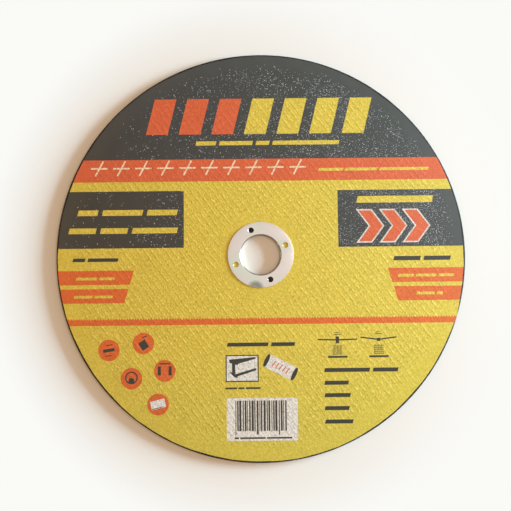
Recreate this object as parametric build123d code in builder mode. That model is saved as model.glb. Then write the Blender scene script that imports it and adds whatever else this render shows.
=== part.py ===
from build123d import *
from math import atan2, degrees, sqrt
import os

os.makedirs("parts", exist_ok=True)

# A reinforced cut-off wheel that lies on its back, label up. Its origin is the
# centre of the bore at the back face, +Z is the spindle axis and +Y the top of the print.

# Wheel: 230 mm across, 2.0 mm thick, for a 22.23 mm spindle boss
wheel_radius = 115.0
wheel_thickness = 2.0
boss_bore_radius = 11.115

# Arbor ring, stamped from tinned sheet and pressed in from the label side
ring_sheet = 0.3
ring_flange_radius = 18.55
ring_bend_chamfer = 0.3
collar_setback = 0.1
collar_clearance = 0.05
ring_hole_radius = 1.55
ring_hole_circle_radius = 14.9
ring_hole_count = 4
ring_hole_angle = 21.0

# Glass-fibre nets, one under each face, smaller than the wheel
net_margin = 7.5
net_wall = 0.25
yarn_pitch = 3.175
yarn_width = 1.5
yarn_height = 0.1
yarn_end_margin = 0.5
yarn_heading = 126.8

# Paper label, and the ink printed on it
label_margin = 0.5
paper_thickness = 0.11
ink_thickness = 0.04

# Print: crown, band and side panels, which run out to the label's edge
crown_base = 54.65
band_base = 42.0
cross_count = 10
cross_pitch = 12.5
cross_first_x = -91.15
cross_y = 49.8
cross_bar_length = 9.3
cross_bar_width = 0.9
cross_stroke_length = 9.6
cross_stroke_angle = 62.4
panel_height = 32.3
left_panel_base = 4.4
left_panel_end = -43.3
right_panel_base = 4.0
right_panel_start = 43.8

# Print: a row of slanted bars on the crown, and chevrons with a white border on the right panel
bar_count = 7
red_bar_count = 3
bar_first_x = -56.0
bar_pitch = 18.6
bar_width = 17.5
bar_height = 20.5
bar_base = 69.0
bar_lean = 76.0
chevron_count = 3
chevron_first_x = 55.5
chevron_base = 7.0
chevron_pitch = 13.0
chevron_arm = 7.0
chevron_tip = 6.5
chevron_height = 17.5
chevron_border = 0.8

# Print: slant-ended tabs at both sides, and the line below them
tab_top = -8.1
tab_height = 8.0
tab_pitch = 10.3
tab_count = 2
tab_reach = 71.3
tab_slant = 0.3
line_top = -35.0
line_width = 3.9

# Print: round spots, and the white fields of bare paper
spot_radius = 6.0
spot_centres = [(-85.2, -52.5), (-66.0, -48.8), (-54.1, -64.1), (-72.6, -68.2), (-57.8, -82.5)]
code_width = 39.4
code_height = 23.4
code_base = -102.9
code_corner = 1.0
picture_centre = (-11.0, -63.2)
picture_width = 18.4
picture_height = 14.9
tube_start = (2.7, -58.9)
tube_end = (18.0, -66.6)
tube_width = 7.8
tube_end_depth = 2.3

# Sizes that follow from the ones above
collar_radius = boss_bore_radius + ring_sheet
wheel_bore_radius = collar_radius + collar_clearance
net_radius = wheel_radius - net_margin
label_radius = wheel_radius - label_margin
abrasive_thickness = wheel_thickness - paper_thickness - ink_thickness
net_thickness = net_wall + yarn_height

back_face = Plane.XY.rotated((180, 0, 0))
front_net_face = Plane.XY.offset(abrasive_thickness)
net_wall_face = Plane.XY.offset(abrasive_thickness - yarn_height)
print_face = Plane.XY.offset(abrasive_thickness + paper_thickness)


def yarn_stretches():
    """Middle (x, y) and length of each stretch of yarn, with x across the yarns."""
    stretches = []
    rows = int((net_radius - yarn_width / 2 - yarn_end_margin) / yarn_pitch)
    outer_end = net_radius - yarn_end_margin
    inner_end = wheel_bore_radius + yarn_end_margin
    for row in range(-rows, rows + 1):
        x = row * yarn_pitch
        near_edge = max(abs(x) - yarn_width / 2, 0)
        far_edge = abs(x) + yarn_width / 2
        reach = sqrt(outer_end**2 - far_edge**2)
        if near_edge < inner_end:
            start = sqrt(inner_end**2 - near_edge**2)
            stretches.append((x, (start + reach) / 2, reach - start))
            stretches.append((x, -(start + reach) / 2, reach - start))
        else:
            stretches.append((x, 0, 2 * reach))
    return stretches


def make_yarns():
    """The yarns of one net, each a low ridge, side by side across X and standing on Z = 0."""
    yarns = []
    for x, y, length in yarn_stretches():
        crest = yarn_width / 2
        yarn = Wedge(
            yarn_width,
            yarn_height,
            length,
            crest,
            0,
            crest,
            length,
            rotation=(90, 0, 0),
            align=(Align.CENTER, Align.MIN, Align.CENTER),
        )
        yarns.append(Pos(x, y) * yarn)
    return yarns


# Abrasive grain in resin, moulded round both nets: it alone reaches the rim
with BuildPart() as abrasive_disc:
    with BuildSketch(Plane.XY):
        Circle(wheel_radius)
        Circle(wheel_bore_radius, mode=Mode.SUBTRACT)
    extrude(amount=abrasive_thickness)
    for seat in (back_face, front_net_face):
        with BuildSketch(seat):
            Circle(net_radius)
        extrude(amount=-net_thickness, mode=Mode.SUBTRACT)
abrasive_disc.part.label = "abrasive_disc"

# Front net: a flat wall of cloth and resin, with its yarns standing up to the label
yarns = make_yarns()
with BuildPart() as front_net:
    with BuildSketch(net_wall_face):
        Circle(net_radius)
        Circle(wheel_bore_radius, mode=Mode.SUBTRACT)
    extrude(amount=-net_wall)
    with Locations(net_wall_face.origin):
        add(yarns, rotation=(0, 0, yarn_heading - 90))
front_net.part.label = "front_net"

# Back net: the same net turned over, its yarns level with the back face
with BuildPart() as back_net:
    with Locations((0, 0, abrasive_thickness)):
        add(front_net.part, rotation=(180, 0, 0))
back_net.part.label = "back_net"

with BuildSketch(print_face) as label_outline:
    Circle(label_radius)
    Circle(wheel_bore_radius, mode=Mode.SUBTRACT)

# Paper label, on the yarns of the front net
with BuildPart() as paper_label:
    add(label_outline.sketch)
    extrude(amount=-paper_thickness)
paper_label.part.label = "paper_label"

# Motifs on the charcoal: slanted bars on the crown, and bordered chevrons on the right panel
with BuildSketch(print_face) as red_bars:
    for bar in range(red_bar_count):
        with Locations((bar_first_x + bar * bar_pitch, bar_base)):
            Trapezoid(bar_width, bar_height, bar_lean, 180 - bar_lean, align=(Align.CENTER, Align.MIN))

with BuildSketch(print_face) as yellow_bars:
    for bar in range(red_bar_count, bar_count):
        with Locations((bar_first_x + bar * bar_pitch, bar_base)):
            Trapezoid(bar_width, bar_height, bar_lean, 180 - bar_lean, align=(Align.CENTER, Align.MIN))

with BuildSketch(print_face) as chevrons:
    for chevron in range(chevron_count):
        with Locations((chevron_first_x + chevron * chevron_pitch, chevron_base)):
            Polygon(
                (0, 0),
                (chevron_arm, 0),
                (chevron_arm + chevron_tip, chevron_height / 2),
                (chevron_arm, chevron_height),
                (0, chevron_height),
                (chevron_tip, chevron_height / 2),
                align=None,
            )

with BuildSketch(print_face) as bordered_chevrons:
    add(chevrons.sketch)
    offset(amount=chevron_border, kind=Kind.INTERSECTION)

# Charcoal: the crown above the band and the panel at each side
with BuildSketch(print_face) as charcoal_fields:
    with Locations((0, crown_base)):
        Rectangle(2 * label_radius, label_radius, align=(Align.CENTER, Align.MIN))
    with Locations((left_panel_end, left_panel_base)):
        Rectangle(label_radius, panel_height, align=(Align.MAX, Align.MIN))
    with Locations((right_panel_start, right_panel_base)):
        Rectangle(label_radius, panel_height, align=(Align.MIN, Align.MIN))
    add(label_outline.sketch, mode=Mode.INTERSECT)

with BuildPart() as charcoal_ink:
    with BuildSketch(print_face):
        add(charcoal_fields.sketch)
        for motif in (red_bars, yellow_bars, bordered_chevrons):
            add(motif.sketch, mode=Mode.SUBTRACT)
    extrude(amount=ink_thickness)
charcoal_ink.part.label = "charcoal_ink"

# Red: the band, with a row of slanted crosses left white, and the red motifs
with BuildSketch(print_face) as band_field:
    with Locations((0, band_base)):
        Rectangle(2 * label_radius, crown_base - band_base, align=(Align.CENTER, Align.MIN))
    add(label_outline.sketch, mode=Mode.INTERSECT)

with BuildPart() as red_ink:
    with BuildSketch(print_face):
        add(band_field.sketch)
        cross_middle = cross_first_x + cross_pitch * (cross_count - 1) / 2
        with Locations((cross_middle, cross_y)):
            with GridLocations(cross_pitch, 0, cross_count, 1):
                Rectangle(cross_bar_length, cross_bar_width, mode=Mode.SUBTRACT)
                Rectangle(
                    cross_stroke_length,
                    cross_bar_width,
                    rotation=cross_stroke_angle,
                    mode=Mode.SUBTRACT,
                )
        add(red_bars.sketch)
        add(chevrons.sketch)
    extrude(amount=ink_thickness)
red_ink.part.label = "red_ink"

# Orange: two slant-ended tabs at each side, the line and the round spots
with BuildSketch(print_face) as orange_fields:
    for side in (-1, 1):
        for tab in range(tab_count):
            top = tab_top - tab * tab_pitch
            base = top - tab_height
            with BuildLine():
                Polyline(
                    (side * (tab_reach + tab_slant * (tab_top - top)), top),
                    (side * label_radius, top),
                    (side * label_radius, base),
                    (side * (tab_reach + tab_slant * (tab_top - base)), base),
                    close=True,
                )
            make_face()
    with Locations((0, line_top)):
        Rectangle(2 * label_radius, line_width, align=(Align.CENTER, Align.MAX))
    with Locations(spot_centres):
        Circle(spot_radius)
    add(label_outline.sketch, mode=Mode.INTERSECT)

with BuildPart() as orange_ink:
    add(orange_fields.sketch)
    extrude(amount=ink_thickness)
orange_ink.part.label = "orange_ink"

# White: the fields of bare paper for a bar code, a framed picture and a tube
tube_run = (tube_end[0] - tube_start[0], tube_end[1] - tube_start[1])
tube_length = sqrt(tube_run[0] ** 2 + tube_run[1] ** 2)
tube_heading = degrees(atan2(tube_run[1], tube_run[0]))
tube_middle = (tube_start[0] + tube_run[0] / 2, tube_start[1] + tube_run[1] / 2)
with BuildSketch(print_face) as bare_fields:
    with Locations((0, code_base)):
        RectangleRounded(code_width, code_height, code_corner, align=(Align.CENTER, Align.MIN))
    with Locations(picture_centre):
        Rectangle(picture_width, picture_height)
    with Locations(tube_middle):
        Rectangle(tube_length, tube_width, rotation=tube_heading)
    with Locations(tube_start, tube_end):
        Ellipse(tube_end_depth / 2, tube_width / 2, rotation=tube_heading)

# Yellow: all the rest of the label, and the yellow motifs
with BuildPart() as yellow_ink:
    with BuildSketch(print_face):
        add(label_outline.sketch)
        for field in (charcoal_fields, band_field, orange_fields, bare_fields):
            add(field.sketch, mode=Mode.SUBTRACT)
        add(yellow_bars.sketch)
    extrude(amount=ink_thickness)
yellow_ink.part.label = "yellow_ink"

# Arbor ring: a flange on the label, bent into a collar that lines the bore
flange_face = Plane.XY.offset(wheel_thickness + ring_sheet)
with BuildPart() as arbor_ring:
    with BuildSketch(Plane.XZ) as ring_section:
        with BuildLine():
            Polyline(
                (boss_bore_radius, collar_setback),
                (collar_radius, collar_setback),
                (collar_radius, wheel_thickness),
                (ring_flange_radius, wheel_thickness),
                (ring_flange_radius, wheel_thickness + ring_sheet),
                (boss_bore_radius, wheel_thickness + ring_sheet),
                close=True,
            )
        make_face()
        bend_corner = (boss_bore_radius, wheel_thickness + ring_sheet)
        outer_bend = ring_section.vertices().sort_by_distance(bend_corner)[0]
        chamfer(outer_bend, ring_bend_chamfer)
    revolve(axis=Axis.Z)
    with BuildSketch(flange_face):
        with PolarLocations(ring_hole_circle_radius, ring_hole_count, start_angle=ring_hole_angle):
            Circle(ring_hole_radius)
    extrude(amount=-ring_sheet, mode=Mode.SUBTRACT)
arbor_ring.part.label = "arbor_ring"

export_step(abrasive_disc.part, "parts/abrasive_disc.step")
export_step(back_net.part, "parts/back_net.step")
export_step(front_net.part, "parts/front_net.step")
export_step(paper_label.part, "parts/paper_label.step")
export_step(charcoal_ink.part, "parts/charcoal_ink.step")
export_step(red_ink.part, "parts/red_ink.step")
export_step(orange_ink.part, "parts/orange_ink.step")
export_step(yellow_ink.part, "parts/yellow_ink.step")
export_step(arbor_ring.part, "parts/arbor_ring.step")
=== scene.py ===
"""The looks of a reinforced cut-off wheel that lies on its back, label up.

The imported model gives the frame, in metres: +Z is the spindle axis, +Y is the top of
the print, and the back face lies on Z = 0.
"""

import math
from typing import NamedTuple

import bpy
import numpy as np
from bpy.props import FloatProperty, FloatVectorProperty, IntProperty, PointerProperty
from mathutils import Matrix, Vector
from mathutils.bvhtree import BVHTree
from mathutils.geometry import delaunay_2d_cdt


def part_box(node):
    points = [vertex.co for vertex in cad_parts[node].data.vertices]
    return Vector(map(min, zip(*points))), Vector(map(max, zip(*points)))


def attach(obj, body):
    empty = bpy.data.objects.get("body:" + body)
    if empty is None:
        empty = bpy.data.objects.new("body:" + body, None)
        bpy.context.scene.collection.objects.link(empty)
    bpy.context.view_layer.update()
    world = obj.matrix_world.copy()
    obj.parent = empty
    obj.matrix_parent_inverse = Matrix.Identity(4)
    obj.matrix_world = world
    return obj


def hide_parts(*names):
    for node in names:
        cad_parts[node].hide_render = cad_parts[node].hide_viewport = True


bl_info = {
    "name": "Cut-off wheel",
    "version": (1, 0, 0),
    "blender": (4, 5, 0),
    "location": "View3D > Sidebar > Wheel",
    "description": "Dresses the packed cut-off wheel with its moulded, printed and stamped surfaces",
    "category": "Mesh",
}

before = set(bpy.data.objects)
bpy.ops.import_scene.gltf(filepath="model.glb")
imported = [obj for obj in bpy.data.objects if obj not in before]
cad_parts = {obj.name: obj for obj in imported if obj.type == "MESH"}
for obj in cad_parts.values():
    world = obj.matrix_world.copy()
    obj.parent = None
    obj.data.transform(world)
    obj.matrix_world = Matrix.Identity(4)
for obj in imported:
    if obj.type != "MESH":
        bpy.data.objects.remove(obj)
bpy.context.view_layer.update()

MM = 0.001


def least_radius(node):
    """Distance from the spindle axis to the nearest point of a node."""
    return min(math.hypot(v.co.x, v.co.y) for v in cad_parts[node].data.vertices)


# Sizes read from the frame
WHEEL_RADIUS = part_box("abrasive_disc")[1].x
WHEEL_BORE_RADIUS = least_radius("abrasive_disc")
ABRASIVE_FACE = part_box("abrasive_disc")[1].z
LABEL_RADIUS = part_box("paper_label")[1].x
PAPER_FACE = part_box("paper_label")[1].z
PRINT_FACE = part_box("yellow_ink")[1].z
NET_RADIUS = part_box("back_net")[1].x
NET_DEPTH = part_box("back_net")[1].z
RING_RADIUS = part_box("arbor_ring")[1].x
RING_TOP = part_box("arbor_ring")[1].z
RING_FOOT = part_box("arbor_ring")[0].z
BOSS_BORE_RADIUS = least_radius("arbor_ring")
RING_SHEET = RING_TOP - PRINT_FACE


def srgb(code):
    """Linear RGB of an sRGB hex code such as #D8BD51."""
    channels = [int(code[i : i + 2], 16) / 255 for i in (1, 3, 5)]
    return tuple(c / 12.92 if c <= 0.04045 else ((c + 0.055) / 1.055) ** 2.4 for c in channels)


def colour_property(name, description, code):
    """A colour that a user can change, with an sRGB hex code as its default."""
    return FloatVectorProperty(
        name=name,
        description=description,
        default=srgb(code),
        subtype="COLOR",
        size=3,
        min=0.0,
        max=1.0,
    )


def length_property(name, description, millimetres):
    """A length that a user can change, in metres."""
    return FloatProperty(
        name=name,
        description=description,
        default=millimetres * MM,
        unit="LENGTH",
        precision=5,
    )


def angle_property(name, description, degrees):
    """An angle that a user can change, in radians."""
    return FloatProperty(name=name, description=description, default=math.radians(degrees), subtype="ANGLE")


def power_property(name, description, watts):
    """The power of a lamp that a user can change, in watts."""
    return FloatProperty(name=name, description=description, default=watts, unit="POWER")


class NetSettings(bpy.types.PropertyGroup):
    """The glass-fibre net, whose yarns show in the label and on the back face."""

    warp_pitch: length_property("Warp pitch", "Distance from one pair of warp yarns to the next", 3.175)
    weft_pitch: length_property("Weft pitch", "Distance from one weft yarn to the next", 3.63)
    warp_heading: angle_property("Warp heading", "Direction of the warp yarns, from +X towards +Y", 126.8)
    weft_heading: angle_property("Weft heading", "Direction of the weft yarns, from +X towards +Y", 38.0)
    label_relief: length_property("Label relief", "Height that the yarns stand up under the label", 0.042)
    back_relief: length_property("Back relief", "Depth of the cells between the yarns at the back", 0.14)
    hub_radius: length_property("Hub radius", "Radius of the zone that the mould presses flat", 23.0)
    fade: length_property("Fade", "Width over which the relief dies out", 5.0)
    samples_across: IntProperty(
        name="Samples across",
        description="Mesh points to one warp pitch",
        default=9,
        min=2,
    )
    samples_along: IntProperty(
        name="Samples along",
        description="Mesh points to one weft pitch",
        default=4,
        min=2,
    )


class PrintSettings(bpy.types.PropertyGroup):
    """The colours of the label."""

    yellow: colour_property("Yellow", "Ground colour of the label", "#D8B93C")
    red: colour_property("Red", "Band and motifs", "#D65D2E")
    orange: colour_property("Orange", "Tabs, line and spots", "#D96220")
    charcoal: colour_property("Charcoal", "Crown and side panels", "#3A342D")
    # Painted shade at the left and painted sheen at the upper right, as charcoal colours
    painted_shade_charcoal: colour_property("Thick charcoal", "Charcoal at the left", "#3A2D1B")
    painted_sheen_charcoal: colour_property("Thin charcoal", "Charcoal at the upper right", "#3F403B")
    small_marks: colour_property("Small marks", "Dark marks below the middle", "#322C1C")
    paper: colour_property("Paper", "Bare paper", "#E6DBD0")
    tinted_paper: colour_property("Tinted paper", "Paper of the crosses, under a film of ink", "#F3D2AE")
    # The grains are pale, and their glint is painted into these colours as a painted highlight.
    speck: colour_property("Speck", "Grains that glint through the charcoal", "#D0DAE0")
    warm_speck: colour_property("Warm speck", "Larger grains that glint through the charcoal", "#E4DCD4")


class AbrasiveSettings(bpy.types.PropertyGroup):
    """The moulded abrasive."""

    resin: colour_property("Resin", "Dark resin that binds the grain", "#2A2521")
    grain: colour_property("Grain", "Abrasive grain", "#5C544C")
    yarn: colour_property("Yarn", "Glass yarn soaked in resin", "#665B4D")
    grain_size: length_property("Grain size", "Size of one abrasive grain", 0.5)
    roughness_depth: length_property("Roughness depth", "How far the grain breaks up the surface", 0.06)


class RingSettings(bpy.types.PropertyGroup):
    """The stamped ring that lines the bore."""

    metal: colour_property("Tin", "Colour of the tinned sheet", "#DDD6C0")
    tint: colour_property("Warm tin", "Tin where it is a little thicker", "#E8D3C4")
    # Painted shade: the colour of the collar where it faces away from the window lamp.
    collar: colour_property("Collar", "Tin under a film of resin, down the collar", "#7A6F63")
    lip_radius: length_property("Lip radius", "Radius of the rounded lip from flange to collar", 0.9)
    bend_radius: length_property("Bend radius", "Inside radius of that bend, under the lip", 0.2)
    edge_round: length_property("Edge round", "Rounding of the flange's sheared edge", 0.08)


class StageSettings(bpy.types.PropertyGroup):
    """Floor, lamps and camera."""

    floor: colour_property("Floor", "Colour of the floor", "#EFE8E1")
    backdrop: colour_property("Backdrop", "What the camera sees of the floor away from the wheel", "#FAFAF7")
    key_power: power_property("Key", "Power of the low window lamp", 118.0)
    sky_power: power_property("Sky", "Power of the lamp overhead", 2.0)
    key: colour_property("Key colour", "Light of the window", "#C4E9FF")
    sky: colour_property("Sky colour", "Light of the lamp overhead", "#EEF6FF")
    room: colour_property("Room light", "Light that the room gives back", "#C4A47D")
    walls: colour_property("Walls", "What gloss mirrors low at the sides", "#4E4238")
    ceiling: colour_property("Ceiling", "What gloss mirrors overhead", "#F4FAFF")
    camera_distance: length_property("Camera distance", "From the lens to the middle of the label", 294.9)
    camera_tilt: angle_property("Camera tilt", "Lean of the camera from straight overhead towards -Y", 3.1)
    camera_roll: angle_property("Camera roll", "Turn of the camera about its own axis", -0.6)


class WheelSettings(bpy.types.PropertyGroup):
    """All that a user would change on the wheel."""

    net: PointerProperty(type=NetSettings)
    label_print: PointerProperty(type=PrintSettings)
    abrasive: PointerProperty(type=AbrasiveSettings)
    ring: PointerProperty(type=RingSettings)
    stage: PointerProperty(type=StageSettings)


# Materials


def add_node(tree, kind, output=0, inputs=None, **settings):
    """Adds a node, sets it and its inputs, links inputs that are sockets, and gives an output."""
    node = tree.nodes.new(kind)
    for name, value in settings.items():
        setattr(node, name, value)
    for name, value in (inputs or {}).items():
        socket = node.inputs[name]
        if isinstance(value, bpy.types.NodeSocket):
            tree.links.new(value, socket)
        elif socket.type == "RGBA":
            socket.default_value = (*value, 1.0)
        else:
            socket.default_value = value
    return node.outputs[output] if len(node.outputs) else node


# Sockets of a Mix node go by number: 0 takes the share, 2 and 3 two numbers, and 6 and 7 two
# colours. It gives the number at 0 and the colour at 2.
MIX = "ShaderNodeMix"
MATH = "ShaderNodeMath"
VECTOR = "ShaderNodeVectorMath"
RANGE = "ShaderNodeMapRange"
NOISE = "ShaderNodeTexNoise"
CELLS = "ShaderNodeTexVoronoi"
COORDINATES = "ShaderNodeTexCoord"
SPLIT = "ShaderNodeSeparateXYZ"
CHANNELS = "ShaderNodeSeparateColor"
SHADER = "ShaderNodeBsdfPrincipled"
BUMP = "ShaderNodeBump"
BACKGROUND = "ShaderNodeBackground"
LIGHT_PATH = "ShaderNodeLightPath"
MIX_SHADERS = "ShaderNodeMixShader"
OUTPUT = "ShaderNodeOutputMaterial"


def new_material(name):
    """An empty node material, with its tree and its object coordinates."""
    material = bpy.data.materials.new(name)
    material.use_nodes = True
    tree = material.node_tree
    tree.nodes.clear()
    return material, tree, add_node(tree, COORDINATES, "Object")


def shaded(colour, factor):
    """A colour made darker or lighter."""
    return tuple(min(c * factor, 1.0) for c in colour)


def noise_scale(size):
    """Scale of a noise texture whose blobs measure about a size across."""
    return 0.5 / size


# Paper fibres measure about 0.02 mm across. They are drawn coarser, so that they show.
FIBRE_SCALE = noise_scale(0.4 * MM)
# A roller lays the ink unevenly, in patches of a few millimetres.
MOTTLE_SCALE = noise_scale(4.0 * MM)
# Resin that soaks through the paper leaves stains 0.5 to 1 mm across.
STAIN_SCALE = noise_scale(0.45 * MM)
# Streaks are 0.3 to 0.6 mm across, about half a yarn, and twice as long.
STREAK_SCALE = noise_scale(0.31 * MM)
STREAK_STRETCH = (1.0, 0.45, 1.0)
# Painted light: the ink is painted darker and warmer at the left and lighter and bluer at the
# right, as the window lamp at the right would light it. It is also a little greyer at the foot.
LEFT_PAINTED_SHADE = (0.95, 0.9, 0.97)
RIGHT_PAINTED_LIGHT = (1.08, 1.14, 1.22)
NO_CAST = (1.0, 1.0, 1.0)
FOOT_CAST = (0.9, 0.96, 1.1)
# Typical IOR of ink, resin and paper, and of glass fibre
RESIN_IOR = 1.5
GLASS_IOR = 1.55
# Height of the streaks and of the fibres, where the yarns that show through stand one high
INK_STREAK_HEIGHT = 1.9
INK_FIBRE_HEIGHT = 1.6
PAPER_STREAK_HEIGHT = 2.0
# The wave texture repeats every pi / 10 over its scale.
WAVE_LENGTH = math.pi / 10
# Shares of the weft, and then of the single yarns of each pair, in what shows of the net
WEFT_SHARE = 0.46
SINGLE_SHARE = 0.36
# What is left of that where the mould presses the hub flat, and beyond the net
HUB_SHARE = 0.3
MARGIN_SHARE = 0.15
# Grains that show through the charcoal are 0.2 to 0.5 mm across, and there is at most one to a cell.
SPECK_CELL = 0.8 * MM
# They come in patches, and grit under the ink roughens it.
PATCH_SCALE = noise_scale(14.0 * MM)
GRIT_SCALE = noise_scale(0.35 * MM)
# Direction in which the charcoal is painted lighter and cooler, as painted sheen; against it, it is painted
# browner, as painted shade
PAINTED_SHEEN_DIRECTION = (0.75, 0.66, 0.0)
# The crosses lie above this height, and the charcoal fields above the wheel's middle.
CROSSES_FOOT = 0.38 * WHEEL_RADIUS
# Strands in a yarn measure about 0.01 mm. They are drawn coarser, so that they show.
STRAND_SCALE = noise_scale(0.25 * MM)
# Tinned sheet waves a little over some millimetres, and its scratches are drawn wide enough to show.
SHEET_WAVE_SCALE = noise_scale(7.0 * MM)
SCRATCH_SCALE = noise_scale(0.4 * MM)
# Where the press bent the flange's edge down a little, and how far that reaches
FLANGE_DENT = (-3.2 * MM, -19.2 * MM, RING_TOP)
DENT_REACH = 5.6 * MM
# Depth of that dent and height of the scratches, where the sheet's waves stand one high
DENT_DEPTH = 16.0
SCRATCH_HEIGHT = 0.04
# White board is uneven over some millimetres.
BOARD_SCALE = noise_scale(3.0 * MM)


def rubbed_and_painted_highlight(colour, gain=1.16, lift=0.06):
    """The same colour made paler: partly ink rubbed thin over the white paper, partly painted highlight."""
    return tuple(gain * part + lift for part in colour)


def yarn_wave(tree, place, heading, pitch):
    """Coordinates turned to a set of yarns, and a wave from 0 to 1 that crests on each of them."""
    turn = (0.0, 0.0, math.pi / 2 - heading)
    across = add_node(tree, "ShaderNodeMapping", 0, {"Vector": place, "Rotation": turn})
    wave = {"Vector": across, "Scale": WAVE_LENGTH / pitch, "Distortion": 1.6, "Detail": 2.0}
    return across, add_node(tree, "ShaderNodeTexWave", "Fac", {**wave, "Phase Offset": math.pi})


def net_pattern(tree, place, net):
    """Height of the yarns that show through the label, from 0 to 1, and streaks on them."""
    across, warp = yarn_wave(tree, place, net.warp_heading, net.warp_pitch)
    _, weft = yarn_wave(tree, place, net.weft_heading, net.weft_pitch)
    _, single = yarn_wave(tree, place, net.warp_heading, net.warp_pitch / 2)
    pattern = add_node(tree, MIX, 0, {0: WEFT_SHARE, 2: warp, 3: weft})
    pattern = add_node(tree, MIX, 0, {0: SINGLE_SHARE, 2: pattern, 3: single})
    reach = add_node(tree, VECTOR, "Value", {0: place}, operation="LENGTH")
    hub = {"Value": reach, "From Min": net.hub_radius - net.fade, "From Max": net.hub_radius + net.fade}
    from_hub = add_node(tree, RANGE, 0, {**hub, "To Min": HUB_SHARE})
    rim = {"Value": reach, "From Min": NET_RADIUS - net.fade, "From Max": NET_RADIUS + 1 * MM}
    to_rim = add_node(tree, RANGE, 0, {**rim, "To Min": 1.0, "To Max": MARGIN_SHARE})
    zone = add_node(tree, MATH, 0, {0: from_hub, 1: to_rim}, operation="MULTIPLY")
    pattern = add_node(tree, MATH, 0, {0: pattern, 1: zone}, operation="MULTIPLY")
    stretched = add_node(tree, VECTOR, 0, {0: across, 1: STREAK_STRETCH}, operation="MULTIPLY")
    streaks = add_node(tree, NOISE, "Fac", {"Vector": stretched, "Scale": STREAK_SCALE, "Detail": 2.0})
    signed = add_node(tree, MATH, 0, {0: streaks, 1: 0.5}, operation="SUBTRACT")
    on_yarn = {"Value": pattern, "From Min": 0.3, "From Max": 0.7, "To Min": 0.8, "To Max": 1.5}
    strength = add_node(tree, RANGE, 0, on_yarn)
    streaks = add_node(tree, MATH, 0, {0: signed, 1: strength, 2: 0.5}, operation="MULTIPLY_ADD")
    return pattern, streaks


def painted_light_and_foot_tint(tree, place):
    """What the ink's colour is multiplied by: painted light from left to right, and a greyer tint towards the
    foot.
    """
    across = add_node(tree, SPLIT, "X", {"Vector": place})
    to_right = {"Value": across, "From Min": -0.65 * WHEEL_RADIUS, "From Max": 0.9 * WHEEL_RADIUS}
    side = {0: add_node(tree, RANGE, 0, to_right), 6: LEFT_PAINTED_SHADE, 7: RIGHT_PAINTED_LIGHT}
    side = add_node(tree, MIX, 2, side, data_type="RGBA")
    upward = add_node(tree, SPLIT, "Y", {"Vector": place})
    to_foot = {"Value": upward, "From Min": -0.35 * WHEEL_RADIUS, "From Max": -0.9 * WHEEL_RADIUS}
    foot = {0: add_node(tree, RANGE, 0, to_foot), 6: NO_CAST, 7: FOOT_CAST}
    foot = add_node(tree, MIX, 2, foot, data_type="RGBA")
    return add_node(tree, VECTOR, 0, {0: side, 1: foot}, operation="MULTIPLY")


def flexo_ink_material(name, colour, net, streaks_and_relief):
    """Flexographic ink on uncoated paper, pressed onto the net while the resin cures.

    The eye gets a matt colour that is a little uneven, with dull streaks beside the yarns of the
    net, which are painted shade, and pale ones on them, partly where the press plate rubbed it and
    partly painted highlight. The ink is painted lighter towards the right, as painted light. The
    last argument, from 0 to 1, says how much the streaks and the relief show.
    """
    material, tree, place = new_material(name)
    mottle = add_node(tree, NOISE, "Fac", {"Vector": place, "Scale": MOTTLE_SCALE, "Detail": 2.0})
    ground = {0: mottle, 6: shaded(colour, 0.9), 7: shaded(colour, 1.1)}
    ground = add_node(tree, MIX, 2, ground, data_type="RGBA")
    pattern, streaks = net_pattern(tree, place, net)
    # Painted shade: dull streaks along the yarns.
    low = {"Value": streaks, "From Min": 0.5, "From Max": 0.28, "To Max": 0.55 * streaks_and_relief}
    painted_shade_streaks = {0: add_node(tree, RANGE, 0, low), 6: ground, 7: shaded(colour, 0.55)}
    ground = add_node(tree, MIX, 2, painted_shade_streaks, data_type="RGBA")
    # Pale streaks: partly ink rubbed by the press plate, partly painted highlight on the yarns.
    high = {"Value": streaks, "From Min": 0.53, "From Max": 0.74, "To Max": streaks_and_relief}
    pale = {0: add_node(tree, RANGE, 0, high), 6: ground, 7: rubbed_and_painted_highlight(colour)}
    ground = add_node(tree, MIX, 2, pale, data_type="RGBA")
    # Painted light: the ink is painted lighter and bluer towards the right, and greyer at the foot.
    ground = add_node(tree, VECTOR, 0, {0: ground, 1: painted_light_and_foot_tint(tree, place)}, operation="MULTIPLY")
    fibre = add_node(tree, NOISE, "Fac", {"Vector": place, "Scale": FIBRE_SCALE, "Detail": 3.0})
    height = add_node(tree, MATH, 0, {0: streaks, 1: INK_STREAK_HEIGHT, 2: pattern}, operation="MULTIPLY_ADD")
    height = add_node(tree, MATH, 0, {0: fibre, 1: INK_FIBRE_HEIGHT, 2: height}, operation="MULTIPLY_ADD")
    bump = add_node(tree, BUMP, 0, {"Height": height, "Distance": 0.04 * MM, "Strength": 0.8 * streaks_and_relief})
    surface = {"Base Color": ground, "Roughness": 0.5, "IOR": RESIN_IOR, "Normal": bump}
    add_node(tree, OUTPUT, inputs={"Surface": add_node(tree, SHADER, 0, surface)})
    return material


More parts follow.
